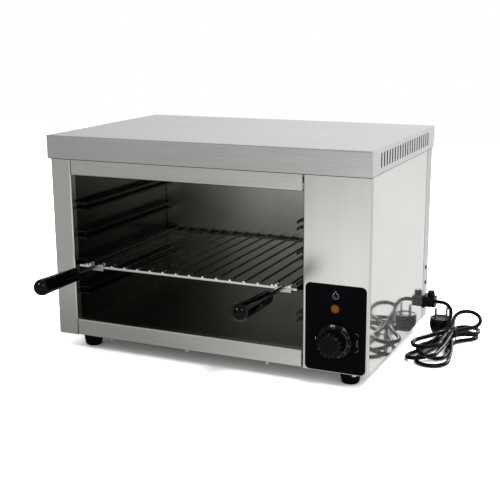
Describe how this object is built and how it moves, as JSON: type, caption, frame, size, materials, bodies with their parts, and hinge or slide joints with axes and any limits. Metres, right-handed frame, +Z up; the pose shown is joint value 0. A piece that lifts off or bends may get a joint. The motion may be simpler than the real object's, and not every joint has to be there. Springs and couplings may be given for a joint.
{
  "type": "cheese melter",
  "caption": "Countertop cheese melter: open-fronted sheet-steel grill with an overhanging top, runners, sliding wire grid with black grips, thermostat knob, rubber feet and tied mains lead.",
  "frame": {"origin": "on the surface the feet stand on, midway across the top cover's width and midway between the grips' tips and the back of the top cover", "axes": "+X to the right as seen from the front, +Y from the front to the back, +Z up"},
  "size_m": [0.661, 0.5245, 0.371],
  "materials": {
    "stainless": "fine brushed, satin",
    "plate_steel": "zinc plated",
    "liner_steel": "polished sheet",
    "bright_chrome": "bright plated",
    "element_steel": "heat-darkened tube",
    "brass_fitting": "turned",
    "copper_bulb": "drawn copper",
    "ceramic_bead": "unglazed",
    "mineral_wool": "felted",
    "black_gloss": "moulded, glossy",
    "overlay_black": "printed film, satin",
    "amber_lens": "clear moulded",
    "black_matte": "moulded",
    "white_plastic": "moulded",
    "black_rubber": "moulded, matte",
    "cord_sheath": "extruded, satin"
  },
  "bodies": {
    "cabinet": {"top_cover": "stainless", "left_side_panel": "stainless", "right_side_panel": "stainless", "rear_panel": "stainless", "base_plate": "plate_steel", "front_post": "stainless", "front_header": "stainless", "front_rail": "stainless", "control_fascia": "stainless", "control_overlay": "overlay_black", "cavity_left_wall": "liner_steel", "cavity_right_wall": "liner_steel", "cavity_back_wall": "liner_steel", "cavity_floor": "liner_steel", "reflector": "liner_steel", "top_insulation": "mineral_wool", "upper_runners_left": "liner_steel", "lower_runners_left": "liner_steel", "upper_runners_right": "liner_steel", "lower_runners_right": "liner_steel", "front_element": "element_steel", "rear_element": "element_steel", "element_hangers": "plate_steel", "element_fittings": "brass_fitting", "element_nuts": "brass_fitting", "element_beads": "ceramic_bead", "thermostat_body": "white_plastic", "thermostat_screws": "plate_steel", "thermostat_bulb": "copper_bulb", "bulb_clips": "plate_steel", "pilot_lamp_lens": "amber_lens", "pilot_lamp_body": "black_matte", "pilot_lamp_nut": "black_matte", "terminal_block": "white_plastic", "terminal_screws": "plate_steel", "internal_wires": "cord_sheath", "feet": "black_rubber", "foot_screws": "plate_steel", "foot_nuts": "plate_steel", "base_screws": "plate_steel", "cover_screws": "plate_steel", "cover_nuts": "plate_steel", "cable_gland": "black_matte", "gland_clamp": "black_matte", "gland_locknut": "black_matte", "cord_tail": "cord_sheath", "power_cord": "cord_sheath", "cord_hank": "cord_sheath", "cord_tie": "black_matte", "plug_body": "black_matte", "plug_contacts": "bright_chrome"},
    "grid": {"wire_grid": "bright_chrome", "handle_brackets": "plate_steel", "bracket_clamps": "plate_steel", "bracket_screws": "plate_steel", "handle_rods": "bright_chrome", "handle_grips": "black_gloss"},
    "knob": {"knob": "black_gloss", "knob_cap": "black_gloss", "thermostat_shaft": "plate_steel"}
  },
  "joints": [
    {"name": "grid_slide", "type": "slide", "parent": "cabinet", "child": "grid", "axis": [0, -1, 0], "range_m": [0, 0.28]},
    {"name": "knob_turn", "type": "hinge", "parent": "cabinet", "child": "knob", "pos_m": [0.22525, -0.1021, 0.0795], "axis": [0, 1, 0], "range_deg": [0, 315]}
  ]
}
